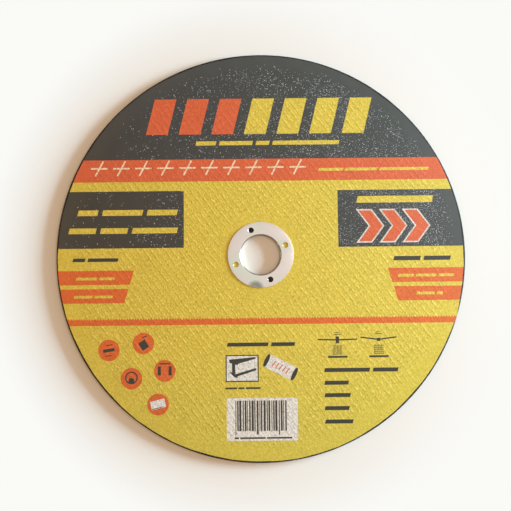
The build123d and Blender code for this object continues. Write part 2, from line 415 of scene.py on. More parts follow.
def charcoal_ground(tree, place, colours, margin):
    """Charcoal painted browner at the lower left as painted shade, and paler towards the upper right and at
    the smooth margin as painted sheen.
    """
    lean = add_node(tree, VECTOR, "Value", {0: place, 1: PAINTED_SHEEN_DIRECTION}, operation="DOT_PRODUCT")
    shade_ramp = {"Value": lean, "From Min": -0.5 * WHEEL_RADIUS, "From Max": 0.15 * WHEEL_RADIUS}
    ground = {0: add_node(tree, RANGE, 0, shade_ramp), 6: colours.painted_shade_charcoal, 7: colours.charcoal}
    ground = add_node(tree, MIX, 2, ground, data_type="RGBA")
    sheen_ramp = {"Value": lean, "From Min": 0.2 * WHEEL_RADIUS, "From Max": 0.95 * WHEEL_RADIUS}
    ground = {0: add_node(tree, RANGE, 0, sheen_ramp), 6: ground, 7: colours.painted_sheen_charcoal}
    ground = add_node(tree, MIX, 2, ground, data_type="RGBA")
    mottle = add_node(tree, NOISE, "Fac", {"Vector": place, "Scale": MOTTLE_SCALE, "Detail": 2.0})
    shade = add_node(tree, RANGE, 0, {"Value": mottle, "To Min": 0.85, "To Max": 1.15})
    # Painted sheen: the smooth margin is painted paler.
    painted_margin_sheen = add_node(tree, RANGE, 0, {**margin, "To Min": 1.0, "To Max": 1.25})
    shade = add_node(tree, MATH, 0, {0: shade, 1: painted_margin_sheen}, operation="MULTIPLY")
    return add_node(tree, VECTOR, 0, {0: ground, "Scale": shade}, operation="SCALE")


def glinting_grains(tree, place, colours, margin):
    """How much a grain shows at each place, from 0 to 1, and the colour it has there, with its glint painted
    in as a painted highlight.
    """
    cells = {"Vector": place, "Scale": 1 / SPECK_CELL}
    chance = add_node(tree, CELLS, "Color", cells, voronoi_dimensions="2D")
    away = add_node(tree, CELLS, "Distance", cells, voronoi_dimensions="2D")
    red = add_node(tree, CHANNELS, "Red", {"Color": chance})
    green = add_node(tree, CHANNELS, "Green", {"Color": chance})
    blue = add_node(tree, CHANNELS, "Blue", {"Color": chance})
    across = add_node(tree, SPLIT, "X", {"Vector": place})
    to_right = {"Value": across, "From Min": -0.7 * WHEEL_RADIUS, "From Max": 0.7 * WHEEL_RADIUS}
    dense = add_node(tree, RANGE, 0, {**to_right, "To Min": 0.06, "To Max": 0.8})
    patch = add_node(tree, NOISE, "Fac", {"Vector": place, "Scale": PATCH_SCALE, "Detail": 1.0})
    patch = {"Value": patch, "From Min": 0.35, "From Max": 0.6, "To Min": 0.3, "To Max": 1.1}
    dense = add_node(tree, MATH, 0, {0: dense, 1: add_node(tree, RANGE, 0, patch)}, operation="MULTIPLY")
    inside = add_node(tree, RANGE, 0, {**margin, "To Min": 1.0, "To Max": 0.0})
    dense = add_node(tree, MATH, 0, {0: dense, 1: inside}, operation="MULTIPLY")
    chosen = add_node(tree, MATH, 0, {0: red, 1: dense}, operation="LESS_THAN")
    size = add_node(tree, RANGE, 0, {"Value": green, "To Min": 0.11, "To Max": 0.3})
    near = add_node(tree, MATH, 0, {0: away, 1: size}, operation="LESS_THAN")
    bright = add_node(tree, RANGE, 0, {"Value": blue, "To Min": 0.1, "To Max": 0.95})
    shows = add_node(tree, MATH, 0, {0: chosen, 1: near}, operation="MULTIPLY")
    shows = add_node(tree, MATH, 0, {0: shows, 1: bright}, operation="MULTIPLY")
    colour = add_node(tree, MIX, 2, {0: green, 6: colours.speck, 7: colours.warm_speck}, data_type="RGBA")
    return shows, colour


def speckled_charcoal_material(name, colours):
    """Dark flexographic ink over abrasive grain that broke through the paper.

    The eye gets a soft dark grey with pale grains that glint, in patches, more of them to the
    right and none at the smooth margin. The small marks below the middle are a warmer dark,
    without grains.
    """
    material, tree, place = new_material(name)
    reach = add_node(tree, VECTOR, "Value", {0: place}, operation="LENGTH")
    margin = {"Value": reach, "From Min": 0.9 * WHEEL_RADIUS, "From Max": 0.96 * WHEEL_RADIUS}
    ground = charcoal_ground(tree, place, colours, margin)
    shows, grain = glinting_grains(tree, place, colours, margin)
    ground = add_node(tree, MIX, 2, {0: shows, 6: ground, 7: grain}, data_type="RGBA")
    upward = add_node(tree, SPLIT, "Y", {"Vector": place})
    in_field = add_node(tree, MATH, 0, {0: upward, 1: 0.0}, operation="GREATER_THAN")
    ground = add_node(tree, MIX, 2, {0: in_field, 6: colours.small_marks, 7: ground}, data_type="RGBA")
    grit = add_node(tree, NOISE, "Fac", {"Vector": place, "Scale": GRIT_SCALE, "Detail": 3.0})
    bump = add_node(tree, BUMP, 0, {"Height": grit, "Distance": 0.06 * MM, "Strength": 0.7})
    surface = {"Base Color": ground, "Roughness": 0.4, "IOR": RESIN_IOR, "Normal": bump}
    add_node(tree, OUTPUT, inputs={"Surface": add_node(tree, SHADER, 0, surface)})
    return material


def pressed_paper_material(name, colour, tinted, net):
    """Uncoated paper pressed onto the net.

    The eye gets an off-white that is speckled grey where the dark resin shows through, and
    creamy in the row of crosses, where a film of ink lies on it.
    """
    material, tree, place = new_material(name)
    upward = add_node(tree, SPLIT, "Y", {"Vector": place})
    in_row = add_node(tree, MATH, 0, {0: upward, 1: CROSSES_FOOT}, operation="GREATER_THAN")
    colour = add_node(tree, MIX, 2, {0: in_row, 6: colour, 7: tinted}, data_type="RGBA")
    stain_and_painted_shade = add_node(tree, NOISE, "Fac", {"Vector": place, "Scale": STAIN_SCALE, "Detail": 2.0})
    stained = add_node(tree, RANGE, 0, {"Value": stain_and_painted_shade, "From Min": 0.46, "From Max": 0.7, "To Max": 0.85})
    stained = add_node(tree, RANGE, 0, {"Value": stained, "To Min": 1.0, "To Max": 0.5})
    ground = add_node(tree, VECTOR, 0, {0: colour, "Scale": stained}, operation="SCALE")
    pattern, streaks = net_pattern(tree, place, net)
    raised = {0: streaks, 1: PAPER_STREAK_HEIGHT, 2: pattern}
    height = add_node(tree, MATH, 0, raised, operation="MULTIPLY_ADD")
    bump = add_node(tree, BUMP, 0, {"Height": height, "Distance": 0.05 * MM, "Strength": 0.8})
    surface = {"Base Color": ground, "Roughness": 0.7, "IOR": RESIN_IOR, "Normal": bump}
    add_node(tree, OUTPUT, inputs={"Surface": add_node(tree, SHADER, 0, surface)})
    return material


def bonded_abrasive_material(name, settings):
    """Aluminium-oxide grain in phenolic resin, moulded and cured.

    The eye gets a near-black grit of separate grains, some of them lighter.
    """
    material, tree, place = new_material(name)
    cell_inputs = {"Vector": place, "Scale": 1 / settings.grain_size}
    chance = add_node(tree, CELLS, "Color", cell_inputs)
    away = add_node(tree, CELLS, "Distance", cell_inputs)
    red = add_node(tree, CHANNELS, "Red", {"Color": chance})
    pale = add_node(tree, RANGE, 0, {"Value": red, "From Min": 0.5, "From Max": 1.0})
    ground = add_node(tree, MIX, 2, {0: pale, 6: settings.resin, 7: settings.grain}, data_type="RGBA")
    gap = add_node(tree, RANGE, 0, {"Value": away, "From Min": 0.35, "From Max": 0.75})
    ground = add_node(tree, MIX, 2, {0: gap, 6: ground, 7: shaded(settings.resin, 0.55)}, data_type="RGBA")
    height = add_node(tree, MATH, 0, {0: 1.0, 1: away}, operation="SUBTRACT")
    bump = add_node(tree, BUMP, 0, {"Height": height, "Distance": 0.15 * MM, "Strength": 0.8})
    surface = {"Base Color": ground, "Roughness": 0.7, "Specular IOR Level": 0.25, "Normal": bump}
    add_node(tree, OUTPUT, inputs={"Surface": add_node(tree, SHADER, 0, surface)})
    return material


def glass_cloth_material(name, settings, depth):
    """Leno glass cloth soaked in phenolic resin.

    The eye gets brown-grey yarns of fine strands that stand out of dark, gritty cells.
    """
    material, tree, place = new_material(name)
    height = add_node(tree, SPLIT, "Z", {"Vector": place})
    in_cell = add_node(tree, RANGE, 0, {"Value": height, "From Min": 0.25 * depth, "From Max": 0.8 * depth})
    strands = add_node(tree, NOISE, "Fac", {"Vector": place, "Scale": STRAND_SCALE, "Detail": 3.0})
    yarn = {0: strands, 6: shaded(settings.yarn, 0.7), 7: shaded(settings.yarn, 1.3)}
    yarn = add_node(tree, MIX, 2, yarn, data_type="RGBA")
    away = add_node(tree, CELLS, "Distance", {"Vector": place, "Scale": 1 / settings.grain_size})
    grit = {0: away, 6: settings.grain, 7: shaded(settings.resin, 0.7)}
    grit = add_node(tree, MIX, 2, grit, data_type="RGBA")
    ground = add_node(tree, MIX, 2, {0: in_cell, 6: yarn, 7: grit}, data_type="RGBA")
    bump = add_node(tree, BUMP, 0, {"Height": strands, "Distance": 0.08 * MM, "Strength": 0.7})
    surface = {"Base Color": ground, "Roughness": 0.5, "IOR": GLASS_IOR, "Normal": bump}
    add_node(tree, OUTPUT, inputs={"Surface": add_node(tree, SHADER, 0, surface)})
    return material


def tinned_sheet_material(name, settings):
    """Steel sheet, tinned and stamped.

    The eye gets a pale satin metal with soft, slightly wavy reflections and a shallow dent at
    the flange's foot. The collar is painted dark as painted shade, except at its left, which faces
    the window lamp.
    """
    material, tree, place = new_material(name)
    waves = add_node(tree, NOISE, "Fac", {"Vector": place, "Scale": SHEET_WAVE_SCALE, "Detail": 1.0})
    bands = add_node(tree, RANGE, 0, {"Value": waves, "From Min": 0.4, "From Max": 0.6})
    ground = {0: bands, 6: settings.metal, 7: settings.tint}
    ground = add_node(tree, MIX, 2, ground, data_type="RGBA")
    height = add_node(tree, SPLIT, "Z", {"Vector": place})
    # Painted shade: down the collar, apart from its left, the tin is painted dark.
    down = {"Value": height, "From Min": RING_TOP - 0.2 * MM, "From Max": RING_TOP - 0.55 * MM}
    across = add_node(tree, SPLIT, "X", {"Vector": place})
    to_right = {"Value": across, "From Min": -0.8 * BOSS_BORE_RADIUS, "From Max": -0.1 * BOSS_BORE_RADIUS}
    stain_and_painted_shade = {0: add_node(tree, RANGE, 0, down), 1: add_node(tree, RANGE, 0, to_right)}
    stain_and_painted_shade = add_node(tree, MATH, 0, stain_and_painted_shade, operation="MULTIPLY")
    ground = {0: stain_and_painted_shade, 6: ground, 7: settings.collar}
    ground = add_node(tree, MIX, 2, ground, data_type="RGBA")
    scratches = add_node(tree, NOISE, "Fac", {"Vector": place, "Scale": SCRATCH_SCALE, "Detail": 3.0})
    height = add_node(tree, MATH, 0, {0: scratches, 1: SCRATCH_HEIGHT, 2: waves}, operation="MULTIPLY_ADD")
    away = add_node(tree, VECTOR, "Value", {0: place, 1: FLANGE_DENT}, operation="DISTANCE")
    dent = {"Value": away, "From Min": 0.0, "From Max": DENT_REACH, "To Min": -DENT_DEPTH, "To Max": 0.0}
    dent = add_node(tree, RANGE, 0, dent, interpolation_type="SMOOTHSTEP")
    height = add_node(tree, MATH, 0, {0: height, 1: dent}, operation="ADD")
    bump = add_node(tree, BUMP, 0, {"Height": height, "Distance": 0.1 * MM, "Strength": 0.9})
    surface = {"Base Color": ground, "Metallic": 1.0, "Roughness": 0.26, "Normal": bump}
    add_node(tree, OUTPUT, inputs={"Surface": add_node(tree, SHADER, 0, surface)})
    return material


def white_board_material(name, colour, backdrop):
    """Smooth white board.

    The eye gets a plain pale ground that keeps the wheel's shadow, and is as pale far away.
    """
    material, tree, place = new_material(name)
    grain = add_node(tree, NOISE, "Fac", {"Vector": place, "Scale": BOARD_SCALE, "Detail": 2.0})
    ground = add_node(tree, MIX, 2, {0: grain, 6: shaded(colour, 0.99), 7: colour}, data_type="RGBA")
    board = add_node(tree, SHADER, 0, {"Base Color": ground, "Roughness": 0.9})
    pale = add_node(tree, "ShaderNodeEmission", 0, {"Color": backdrop, "Strength": 1.0})
    reach = add_node(tree, VECTOR, "Value", {0: place}, operation="LENGTH")
    far = {"Value": reach, "From Min": 1.0 * WHEEL_RADIUS, "From Max": 1.4 * WHEEL_RADIUS}
    far_off = add_node(tree, RANGE, 0, far, interpolation_type="SMOOTHSTEP")
    seen = add_node(tree, LIGHT_PATH, "Is Camera Ray")
    share = add_node(tree, MATH, 0, {0: far_off, 1: seen}, operation="MULTIPLY")
    mixed = add_node(tree, MIX_SHADERS, 0, {0: share, 1: board, 2: pale})
    add_node(tree, OUTPUT, inputs={"Surface": mixed})
    return material


# Mesh


def circle_points(radius, count, centre=(0.0, 0.0)):
    """Points of a circle, counter-clockwise."""
    turns = np.linspace(0, 2 * math.pi, count, endpoint=False)
    return [(centre[0] + radius * math.cos(t), centre[1] + radius * math.sin(t)) for t in turns]


BORE_POINTS = 128
# A triangle whose middle lies nearer to the axis than this would close the bore.
BORE_CLEAR = WHEEL_BORE_RADIUS * math.cos(math.pi / BORE_POINTS)


def bore_circle():
    """Points of the bore's edge, counter-clockwise."""
    return circle_points(WHEEL_BORE_RADIUS, BORE_POINTS)


def outside_bore(points, triangles):
    """Says of each triangle whether it lies outside the bore."""
    middles = points[triangles].mean(axis=1)
    return np.hypot(middles[:, 0], middles[:, 1]) > BORE_CLEAR


# How far the label's worn edge keeps inside the sheet's radius, and how far it swings about that
EDGE_WEAR = 0.4 * MM
EDGE_SWING = 0.25 * MM


def label_reach(turn):
    """Radius of the label's edge, which is a little worn, at a turn in radians."""
    waves = 0.5 * np.sin(7 * turn + 1.0) + 0.3 * np.sin(23 * turn) + 0.2 * np.sin(61 * turn + 2.0)
    return LABEL_RADIUS - (EDGE_WEAR + EDGE_SWING * waves)


LABEL_EDGE_POINTS = 900


def label_edge():
    """Points of the label's worn edge, counter-clockwise."""
    turns = np.linspace(0, 2 * math.pi, LABEL_EDGE_POINTS, endpoint=False)
    reach = label_reach(turns)
    return list(zip((reach * np.cos(turns)).tolist(), (reach * np.sin(turns)).tolist()))


def cut_long_edges(loop, longest):
    """The closed outline with points added, so that no edge is longer than asked."""
    points = []
    for start, end in zip(loop, loop[1:] + loop[:1]):
        length = math.dist(start, end)
        steps = max(1, math.ceil(length / longest))
        for step in range(steps):
            share = step / steps
            points.append((start[0] + (end[0] - start[0]) * share, start[1] + (end[1] - start[1]) * share))
    return points


def loop_edges(first, count):
    """Edges that close a run of points, which starts at a number, into a loop."""
    return [(first + i, first + (i + 1) % count) for i in range(count)]


class Wires:
    """Points and edges that a triangulation has to keep."""

    def __init__(self, points):
        self.points = [tuple(p) for p in points]
        self.edges = []

    def loop(self, outline):
        """Adds a closed outline."""
        self.edges.extend(loop_edges(len(self.points), len(outline)))
        self.points.extend(outline)

    def line(self, places):
        """Adds an open line."""
        first = len(self.points)
        self.points.extend(places)
        self.edges.extend((first + i, first + i + 1) for i in range(len(places) - 1))


# A triangle whose middle lies within this share of a hole's radius would close the hole.
JUST_INSIDE = 0.999
# Asks the triangulation for the triangles inside the outlines only
INSIDE_ONLY = 1
# Points nearer than this become one, in millimetres.
WELD_DISTANCE = 1e-4


def triangulate(points, edges):
    """Constrained triangles between the points. Works in millimetres, where its tolerance fits.

    Returns the points, the triangles and, for each point, the first given point it stands for.
    """
    corners = [Vector((x / MM, y / MM)) for x, y in points]
    made = delaunay_2d_cdt(corners, edges, [], INSIDE_ONLY, WELD_DISTANCE, True)
    found = np.array([(v.x, v.y) for v in made[0]]) * MM
    triangles = np.array([face for face in made[2] if len(face) == 3])
    sources = [given[0] if given else -1 for given in made[3]]
    return found, triangles, sources


def open_edges(triangles):
    """The directed edges that only one of the triangles has."""
    starts = triangles.ravel()
    ends = np.roll(triangles, -1, axis=1).ravel()
    size = int(triangles.max()) + 1
    one_way = starts.astype(np.int64) * size + ends
    other_way = ends.astype(np.int64) * size + starts
    alone = ~np.isin(one_way, other_way)
    return np.stack([starts[alone], ends[alone]], axis=1)


class Shell:
    """Points and faces of one piece while it is made."""

    def __init__(self):
        self.points = []
        self.faces = []

    def add(self, points):
        """Adds points and returns their numbers."""
        first = len(self.points)
        self.points.extend(points)
        return list(range(first, len(self.points)))

    def loop(self, outline, height):
        """Adds a closed loop of points at a height and returns their numbers."""
        return self.add((x, y, height) for x, y in outline)

    def bridge(self, lower, upper):
        """Faces between two loops of equal length, facing out when lower is below."""
        for i in range(len(lower)):
            j = (i + 1) % len(lower)
            self.faces.append((lower[i], lower[j], upper[j], upper[i]))

    def plate(self, outer, holes, upward=True):
        """Fills the flat space between a loop and the loops inside it."""
        numbers = list(outer)
        edges = loop_edges(0, len(outer))
        for hole in holes:
            edges.extend(loop_edges(len(numbers), len(hole)))
            numbers.extend(hole)
        flat = [self.points[n][:2] for n in numbers]
        found, triangles, sources = triangulate(flat, edges)
        # Triangles that would close a hole are left out.
        rings = []
        for hole in holes:
            xy = np.array([self.points[n][:2] for n in hole])
            rings.append((xy.mean(axis=0), np.hypot(*(xy - xy.mean(axis=0)).T).mean()))
        for triangle in triangles:
            middle = found[triangle].mean(axis=0)
            if any(math.dist(middle, centre) < radius * JUST_INSIDE for centre, radius in rings):
                continue
            corners = [numbers[sources[k]] for k in triangle]
            self.faces.append(tuple(corners if upward else corners[::-1]))


def make_piece(name, points, faces, material, nodes, crease=40.0):
    """A shaded mesh that stands for CAD nodes and rides on the wheel's one body."""
    mesh = bpy.data.meshes.new(name)
    mesh.from_pydata(points, [], faces)
    mesh.validate()
    mesh.shade_smooth()
    mesh.set_sharp_from_angle(angle=math.radians(crease))
    mesh.materials.append(material)
    piece = bpy.data.objects.new(name, mesh)
    bpy.context.scene.collection.objects.link(piece)
    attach(piece, "root")
    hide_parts(*nodes)
    return piece


# The net's relief


def bump_profile(phase, width):
    """Height, from 0 to 1, of a rounded strand that crosses phase 0 and fills a share of the pitch."""
    away = np.abs((phase + 0.5) % 1.0 - 0.5)
    return np.where(away < width / 2, np.cos(np.pi * away / width) ** 2, 0.0)


def net_phases(x, y, net):
    """Places counted in warp pitches across the warp yarns, and in weft pitches across the weft."""
    across = (x * math.sin(net.warp_heading) - y * math.cos(net.warp_heading)) / net.warp_pitch
    along = (y * math.cos(net.weft_heading) - x * math.sin(net.weft_heading)) / net.weft_pitch
    return across, along


def unevenness(across, along, strong, weak):
    """Slow swings in how high the yarns stand, at two strengths."""
    return strong * np.sin(2.3 * across + 1.1 * along) + weak * np.sin(1.7 * along - 0.9 * across + 1.0)


# Width of a yarn of a pair in shares of the warp pitch, width and height of a weft yarn, and how
# much the height of the warp yarns swings
SINGLE_WIDTH = 0.38
WEFT_WIDTH = 0.5
WEFT_HEIGHT = 0.4
YARN_SWINGS = (0.16, 0.14)


def cloth_height(x, y, net):
    """Height, from 0 to 1, of leno cloth: warp yarns in pairs that twist over and under each weft."""
    across, along = net_phases(x, y, net)
    over = 0.5 + 0.5 * np.cos(2 * math.pi * along)
    uneven = unevenness(across, along, *YARN_SWINGS)
    first = bump_profile(across - SINGLE_WIDTH / 2, SINGLE_WIDTH) * (0.5 + 0.5 * over + uneven)
    second = bump_profile(across + SINGLE_WIDTH / 2, SINGLE_WIDTH) * (1.0 - 0.5 * over - uneven)
    weft = bump_profile(along, WEFT_WIDTH) * WEFT_HEIGHT
    return np.clip(np.maximum(np.maximum(first, second), weft), 0, 1)


# Width of the ridges in the paper in shares of the pitch, and the warp ridges' share of the height
RIDGE_WIDTH = 0.6
WARP_RIDGE = 0.66
# Height of a warp ridge, how much it swings, and how much it rises over each weft yarn
RIDGE_HEIGHT = 0.7
RIDGE_SWINGS = (0.25, 0.2)
CROSSING_RISE = 0.2


def pressed_height(x, y, net):
    """Height, from 0 to 1, of paper over the cloth: one ridge to a pair of warp yarns."""
    across, along = net_phases(x, y, net)
    sway = 0.06 * np.sin(0.9 * along + 0.4 * across) + 0.05 * np.sin(1.3 * along - 0.7 * across + 2.0)
    uneven = unevenness(across, along, *RIDGE_SWINGS)
    dashes = CROSSING_RISE * np.cos(2 * math.pi * along)
    warp = bump_profile(across + sway, RIDGE_WIDTH) * (RIDGE_HEIGHT + uneven + dashes)
    weft = bump_profile(along + sway, RIDGE_WIDTH)
    return WARP_RIDGE * warp + (1 - WARP_RIDGE) * weft


# How far beyond the net the label's relief reaches, and over what width it dies out there, in
# shares of the width over which it dies out at the hub
RELIEF_OVER = 0.3
RIM_FADE = 0.6


def relief_end(net):
    """Radius beyond which the label is flat."""
    return NET_RADIUS + RELIEF_OVER * net.fade


def relief_share(radius, net):
    """Share of the relief that is left at a radius: none at the pressed hub or outside the net."""
    hub = np.clip((radius - net.hub_radius) / net.fade, 0, 1)
    rim = np.clip((relief_end(net) - radius) / (RIM_FADE * net.fade), 0, 1)
    share = hub * rim
    return share * share * (3 - 2 * share)


LATTICE_ROOM = 1.1


def lattice_points(net, least, most, samples_across, samples_along):
    """Points on lines along and across the yarns, between two radii."""
    warp = np.array((math.sin(net.warp_heading), -math.cos(net.warp_heading)))
    weft = np.array((-math.sin(net.weft_heading), math.cos(net.weft_heading)))
    back = np.linalg.inv(np.array((warp, weft))).T
    reach_across = int(most / net.warp_pitch * samples_across * LATTICE_ROOM) + 1
    reach_along = int(most / net.weft_pitch * samples_along * LATTICE_ROOM) + 1
    across = np.arange(-reach_across, reach_across + 1) * net.warp_pitch / samples_across
    along = np.arange(-reach_along, reach_along + 1) * net.weft_pitch / samples_along
    grid = np.stack(np.meshgrid(across, along, indexing="ij"), axis=-1).reshape(-1, 2)
    points = grid @ back
    radius = np.hypot(points[:, 0], points[:, 1])
    return points[(radius > least) & (radius < most)]


# The print, in millimetres. What comes later lies on what comes before.

# Marks a hole through the label
OPEN = -1
PAPER, YELLOW, RED, ORANGE, CHARCOAL = range(5)
INK_NODES = {YELLOW: "yellow_ink", RED: "red_ink", ORANGE: "orange_ink", CHARCOAL: "charcoal_ink"}


class MarkRow(NamedTuple):
    """A row of plain bars on one base line, whose lengths are in the given shares."""

    ink: int
    left: float
    right: float
    base: float
    height: float
    shares: tuple
    lean: float = 76.0


MARK_ROWS = [
    MarkRow(YELLOW, -36.5, 45.5, 62.6, 2.4, (3, 5, 2, 10)),
    MarkRow(YELLOW, -103.5, -46.5, 22.9, 3.2, (2, 4, 3)),
    MarkRow(YELLOW, -108.5, -46.5, 12.7, 3.2, (3, 3, 5)),
    MarkRow(YELLOW, 54.3, 98.0, 28.9, 3.8, (1,)),
    MarkRow(YELLOW, 33.0, 96.0, 47.4, 1.6, (3, 4, 6), 65.0),
    MarkRow(YELLOW, -104.0, -82.0, -13.4, 1.5, (4, 3)),
    MarkRow(YELLOW, -105.0, -83.0, -23.5, 1.5, (4, 4)),
    MarkRow(YELLOW, 77.0, 108.5, -13.1, 1.5, (3, 4, 3)),
    MarkRow(YELLOW, 87.0, 102.0, -23.2, 1.6, (3, 1)),
    MarkRow(CHARCOAL, -106.0, -80.0, -3.1, 2.0, (2, 5)),
    MarkRow(CHARCOAL, 74.5, 107.0, -3.9, 2.4, (4, 4)),
    MarkRow(CHARCOAL, -19.5, 18.7, -51.1, 2.1, (7, 4)),
    MarkRow(CHARCOAL, -20.5, -0.8, -74.6, 1.0, (4, 2, 5)),
    MarkRow(CHARCOAL, 34.5, 76.0, -65.7, 2.2, (9, 5)),
    MarkRow(CHARCOAL, 34.5, 48.3, -72.7, 2.2, (1,)),
    MarkRow(CHARCOAL, 34.5, 49.3, -79.5, 2.2, (1,)),
    MarkRow(CHARCOAL, 34.5, 48.5, -86.6, 2.2, (1,)),
    MarkRow(CHARCOAL, 34.5, 50.5, -93.9, 2.2, (1,)),
    MarkRow(CHARCOAL, -15.5, 16.5, -101.8, 0.9, (1, 6, 6)),
]


def slanted_bar(left, base, width, height, lean=90.0):
    """A bar whose sides lean from the vertical, as four points."""
    shift = height / math.tan(math.radians(lean))
    return [
        (left, base),
        (left + width, base),
        (left + width + shift, base + height),
        (left + shift, base + height),
    ]


# Gap between two bars of a row, in shares of their height
BAR_GAP = 0.8


def row_marks(row):
    """The bars of a row, whose lengths are in the row's shares."""
    gap = BAR_GAP * row.height
    slant = row.height / math.tan(math.radians(row.lean))
    room = row.right - row.left - slant - gap * (len(row.shares) - 1)
    marks = []
    left = row.left
    for share in row.shares:
        width = room * share / sum(row.shares)
        marks.append(slanted_bar(left, row.base, width, row.height, row.lean))
        left += width + gap
    return marks


def turned(points, centre, angle):
    """The points, turned about the origin by an angle in degrees and moved to a centre."""
    cosine = math.cos(math.radians(angle))
    sine = math.sin(math.radians(angle))
    return [(centre[0] + x * cosine - y * sine, centre[1] + x * sine + y * cosine) for x, y in points]


def centred_box(width, height):
    """Corners of a rectangle round the origin."""
    return [
        (-width / 2, -height / 2),
        (width / 2, -height / 2),
        (width / 2, height / 2),
        (-width / 2, height / 2),
    ]


def ellipse(length, width, count=36):
    """Points of an ellipse round the origin, its length along X."""
    return [(x * length, y * width) for x, y in circle_points(0.5, count)]


# Upper edge of the orange line, which was cut with fine teeth
LINE_TOP = -35.0
TOOTH_PITCH = 1.5
TOOTH_DEPTH = 0.9
# Gap between two teeth, in shares of their pitch
TOOTH_GAP = 0.02


def saw_edge():
    """Shallow teeth along the upper edge of the orange line."""
    reach = math.sqrt((LABEL_RADIUS / MM) ** 2 - LINE_TOP**2) - 1.0
    gap = TOOTH_GAP * TOOTH_PITCH
    shapes = []
    count = int(2 * reach / TOOTH_PITCH) + 1
    for number in range(count):
        left = -reach + number * TOOTH_PITCH
        notch = [
            (left + gap, LINE_TOP + gap),
            (left + TOOTH_PITCH / 2, LINE_TOP - TOOTH_DEPTH),
            (left + TOOTH_PITCH - gap, LINE_TOP + gap),
        ]
        shapes.append((YELLOW, notch))
    return shapes


# Middles of the round spots, named for the plain marks on them
SPOTS = {
    "bar": (-85.2, -52.5),
    "block": (-66.0, -48.8),
    "pair": (-54.1, -64.1),
    "ring": (-72.6, -68.2),
    "card": (-57.8, -82.5),
}


class SpotMark(NamedTuple):
    """A plain mark on a round spot, placed from the spot's middle and turned in degrees."""

    spot: str
    ink: int
    outline: list
    right: float = 0.0
    above: float = 0.0
    turn: float = 0.0


SPOT_MARKS = [
    SpotMark("bar", CHARCOAL, centred_box(6.4, 1.7), turn=8),
    SpotMark("bar", CHARCOAL, centred_box(3.4, 0.5), 0.2, 2.9, 8),
    SpotMark("bar", CHARCOAL, centred_box(3.4, 0.5), -0.2, -3.0, 8),
    SpotMark("block", CHARCOAL, centred_box(4.2, 4.8), 0.2, -1.0, 32),
    SpotMark("block", CHARCOAL, centred_box(3.0, 0.6), 0.6, 3.6, 20),
    SpotMark("pair", CHARCOAL, centred_box(1.7, 5.0), -3.0),
    SpotMark("pair", CHARCOAL, centred_box(1.7, 5.0), 3.0),
    SpotMark("pair", CHARCOAL, centred_box(6.0, 0.7), 0.0, 3.9),
    SpotMark("ring", CHARCOAL, ellipse(7.0, 7.0), 0.0, 0.4),
    SpotMark("ring", ORANGE, ellipse(5.5, 5.5), 0.0, 0.4),
    SpotMark("ring", CHARCOAL, ellipse(3.2, 3.2), 0.0, -1.2),
    SpotMark("card", PAPER, centred_box(8.2, 4.8), turn=14),
    SpotMark("card", CHARCOAL, centred_box(6.6, 0.4), 0.0, -2.0, 14),
]


def spot_marks():
    """A plain dark or pale mark on each round spot."""
    shapes = []
    for mark in SPOT_MARKS:
        spot_x, spot_y = SPOTS[mark.spot]
        centre = (spot_x + mark.right, spot_y + mark.above)
        shapes.append((mark.ink, turned(mark.outline, centre, mark.turn)))
    return shapes


CODE_LEFT = -14.9
CODE_RIGHT = 13.9
CODE_TOP = -80.9
CODE_FOOT = -97.5
CODE_UNIT = 0.38
# Every ninth bar is longer than the rest by this much.
CODE_STEP = 2.0


def code_bars():
    """Upright bars of one to three units, with gaps of one to two, that stand for no number."""
    bars = []
    x = CODE_LEFT
    number = 0
    while x < CODE_RIGHT:
        width = CODE_UNIT * (1 + 0.5 * (number * 7 % 5))
        foot = CODE_FOOT - (CODE_STEP if number % 9 == 0 else 0.0)
        bars.append((CHARCOAL, slanted_bar(x, foot, width, CODE_TOP - foot)))
        x += width + CODE_UNIT * (1 + 0.5 * ((number * 5 + 1) % 3))
        number += 1
    return bars


PICTURE_CENTRE = (-11.0, -63.2)
PICTURE_SIZE = (18.4, 14.9)
PICTURE_LINE = 0.6
# Dark faces of the beam: its top, its web, its foot and the side of its foot
BEAM_FACES = [
    [(-18.3, -58.3), (-18.1, -60.0), (-13.5, -61.4), (-13.1, -60.6), (-3.4, -57.9), (-3.6, -57.0)],
    [(-16.7, -60.2), (-16.6, -66.5), (-14.8, -66.7), (-14.9, -60.7)],
    [(-18.3, -64.9), (-16.6, -65.4), (-13.6, -67.0), (-13.5, -68.6), (-15.6, -67.8)],
    [(-14.8, -66.4), (-3.2, -63.0), (-3.2, -64.3), (-13.7, -67.6)],
]


def beam_picture():
    """A dark frame round the end view of a rolled beam."""
    width, height = PICTURE_SIZE
    inner = centred_box(width - 2 * PICTURE_LINE, height - 2 * PICTURE_LINE)
    frame_shapes = [
        (CHARCOAL, turned(centred_box(width, height), PICTURE_CENTRE, 0)),
        (PAPER, turned(inner, PICTURE_CENTRE, 0)),
    ]
    return frame_shapes + [(CHARCOAL, face) for face in BEAM_FACES]


TUBE_START = (2.7, -58.9)
TUBE_END = (18.0, -66.6)
TUBE_WIDTH = 7.8
TUBE_END_DEPTH = 2.3
# Strokes along the tube: how many, where the first stands and how far apart, in shares of the
# tube's length, and their size
STROKES = 5
FIRST_STROKE = 0.25
STROKE_STEP = 0.125
STROKE_LEFT = -0.5
STROKE_WIDTH = 0.6
STROKE_HEIGHT = 3.4


